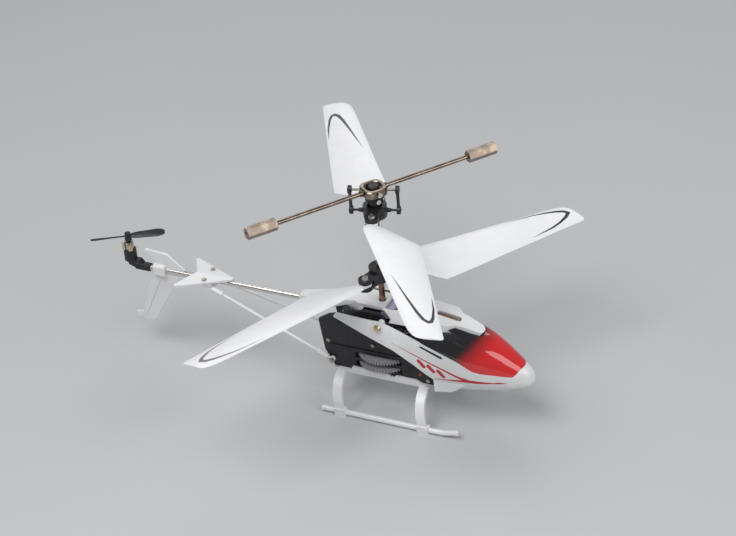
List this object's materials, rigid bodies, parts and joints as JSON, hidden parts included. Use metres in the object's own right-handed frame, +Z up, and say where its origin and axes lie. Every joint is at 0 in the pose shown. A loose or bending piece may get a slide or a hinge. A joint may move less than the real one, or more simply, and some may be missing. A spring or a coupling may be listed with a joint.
{
  "type": "remote control helicopter",
  "caption": "Palm-size coaxial toy helicopter with contra-rotating blades, weighted stabiliser bar, tail boom, horizontal tail rotor and skid landing gear.",
  "frame": {"origin": "on the ground under the axis of the main mast, midway between the skids", "axes": "+X to the nose along the tail boom, +Y to the helicopter's left, +Z up along the mast"},
  "size_m": [0.2015, 0.164, 0.1048],
  "materials": {
    "white_plastic": "satin moulded plastic",
    "blade_plastic": "satin white plastic with a printed dark stripe",
    "canopy_white": "glossy white shell with red trim lines",
    "windshield": "glossy tinted bubble, black fading to red",
    "black_plastic": "black nylon",
    "gear_plastic": "natural acetal",
    "clear_plastic": "smoky translucent plastic",
    "polished_steel": "polished",
    "dark_nickel": "dark nickel plate",
    "bronze": "bronze",
    "brass": "brass",
    "motor_can": "plated steel can",
    "battery_wrap": "foil pouch",
    "board": "green solder mask",
    "led_cream": "diffused lens",
    "led_red": "diffused lens"
  },
  "bodies": {
    "airframe": {"canopy_shell": "canopy_white", "windshield": "windshield", "hood": "white_plastic", "intake_tube": "bronze", "canopy_posts": "white_plastic", "canopy_screws": "brass", "nose_led": "led_cream", "right_frame_plate": "black_plastic", "left_frame_plate": "black_plastic", "frame_screws": "polished_steel", "lower_bearing_plate": "black_plastic", "motor_plate": "black_plastic", "upper_bearing_block": "clear_plastic", "shaft_bearings": "bronze", "front_motor": "motor_can", "rear_motor": "motor_can", "battery": "battery_wrap", "circuit_board": "board", "charge_socket": "black_plastic", "indicator_led": "led_red", "switch_housing": "black_plastic", "top_cover": "white_plastic", "boom_tube": "polished_steel", "stabiliser": "white_plastic", "stabiliser_clamp": "white_plastic", "right_strut": "white_plastic", "left_strut": "white_plastic", "strut_screws": "polished_steel", "tail_fin": "white_plastic", "tail_motor_mount": "black_plastic", "tail_motor": "motor_can", "tail_motor_terminals": "brass", "belly_tray": "white_plastic", "right_legs": "white_plastic", "left_legs": "white_plastic", "right_skid": "white_plastic", "left_skid": "white_plastic"},
    "lower_rotor": {"outer_shaft": "bronze", "upper_main_gear": "gear_plastic", "lower_hub": "black_plastic", "lower_grip_screws": "polished_steel"},
    "lower_blade_a": {"lower_blade_1": "blade_plastic"},
    "lower_blade_b": {"lower_blade_2": "blade_plastic"},
    "upper_rotor": {"inner_shaft": "polished_steel", "lower_main_gear": "gear_plastic", "rotor_head": "black_plastic", "head_screws": "polished_steel"},
    "yoke": {"upper_yoke": "black_plastic", "upper_grip_screws": "polished_steel"},
    "upper_blade_a": {"upper_blade_1": "blade_plastic"},
    "upper_blade_b": {"upper_blade_2": "blade_plastic"},
    "flybar": {"flybar_ring": "dark_nickel", "flybar_rods": "dark_nickel", "flybar_weights": "dark_nickel"},
    "link_a": {"pitch_link_1": "black_plastic"},
    "link_b": {"pitch_link_2": "black_plastic"},
    "tail_rotor": {"tail_rotor": "black_plastic"},
    "front_pinion": {"front_pinion": "brass"},
    "rear_pinion": {"rear_pinion": "brass"},
    "switch": {"switch_slider": "black_plastic"}
  },
  "joints": [
    {"name": "lower_rotor_spin", "type": "hinge", "parent": "airframe", "child": "lower_rotor", "pos_m": [0, 0, 0.0619], "axis": [0, 0, 1], "continuous": true},
    {"name": "upper_rotor_spin", "type": "hinge", "parent": "airframe", "child": "upper_rotor", "pos_m": [0, 0, 0.0929], "axis": [0, 0, 1], "continuous": true},
    {"name": "front_pinion_spin", "type": "hinge", "parent": "airframe", "child": "front_pinion", "pos_m": [0.01345, 0, 0.0242], "axis": [0, 0, 1], "continuous": true},
    {"name": "rear_pinion_spin", "type": "hinge", "parent": "airframe", "child": "rear_pinion", "pos_m": [-0.01345, 0, 0.0201], "axis": [0, 0, 1], "continuous": true},
    {"name": "tail_rotor_spin", "type": "hinge", "parent": "airframe", "child": "tail_rotor", "pos_m": [-0.1205, 0, 0.0567], "axis": [0, 0, 1], "continuous": true},
    {"name": "switch_slide", "type": "slide", "parent": "airframe", "child": "switch", "axis": [1, 0, 0], "range_m": [0, 0.002]},
    {"name": "yoke_feather", "type": "hinge", "parent": "upper_rotor", "child": "yoke", "pos_m": [0, 0, 0.0929], "axis": [-0.284, 0.9588, 0], "range_deg": [-10, 10]},
    {"name": "flybar_tilt", "type": "hinge", "parent": "upper_rotor", "child": "flybar", "pos_m": [0, 0, 0.1025], "axis": [-0.7965, 0.6046, 0], "range_deg": [-12, 12]},
    {"name": "link_a_lift", "type": "slide", "parent": "upper_rotor", "child": "link_a", "axis": [0, 0, 1], "range_m": [-0.0017, 0.0017]},
    {"name": "link_b_lift", "type": "slide", "parent": "upper_rotor", "child": "link_b", "axis": [0, 0, 1], "range_m": [-0.0017, 0.0017]},
    {"name": "lower_blade_a_swing", "type": "hinge", "parent": "lower_rotor", "child": "lower_blade_a", "pos_m": [0.00272, 0.00889, 0.0619], "axis": [0, 0, 1], "range_deg": [-23.8, 66.2]},
    {"name": "lower_blade_b_swing", "type": "hinge", "parent": "lower_rotor", "child": "lower_blade_b", "pos_m": [-0.00272, -0.00889, 0.0619], "axis": [0, 0, 1], "range_deg": [-36.9, 53.1]},
    {"name": "upper_blade_a_swing", "type": "hinge", "parent": "yoke", "child": "upper_blade_a", "pos_m": [-0.00264, 0.00892, 0.0929], "axis": [0, 0, 1], "range_deg": [-60.5, 29.5]},
    {"name": "upper_blade_b_swing", "type": "hinge", "parent": "yoke", "child": "upper_blade_b", "pos_m": [0.00264, -0.00892, 0.0929], "axis": [0, 0, 1], "range_deg": [-62.1, 27.9]}
  ],
  "couplings": [
    {"joint": "front_pinion_spin", "follows": "lower_rotor_spin", "ratio": -6.4444},
    {"joint": "rear_pinion_spin", "follows": "upper_rotor_spin", "ratio": -6.4444},
    {"joint": "link_a_lift", "follows": "flybar_tilt", "m_per_rad": -0.0078175},
    {"joint": "link_b_lift", "follows": "flybar_tilt", "m_per_rad": 0.0078175},
    {"joint": "yoke_feather", "follows": "flybar_tilt", "ratio": 0.80593}
  ]
}
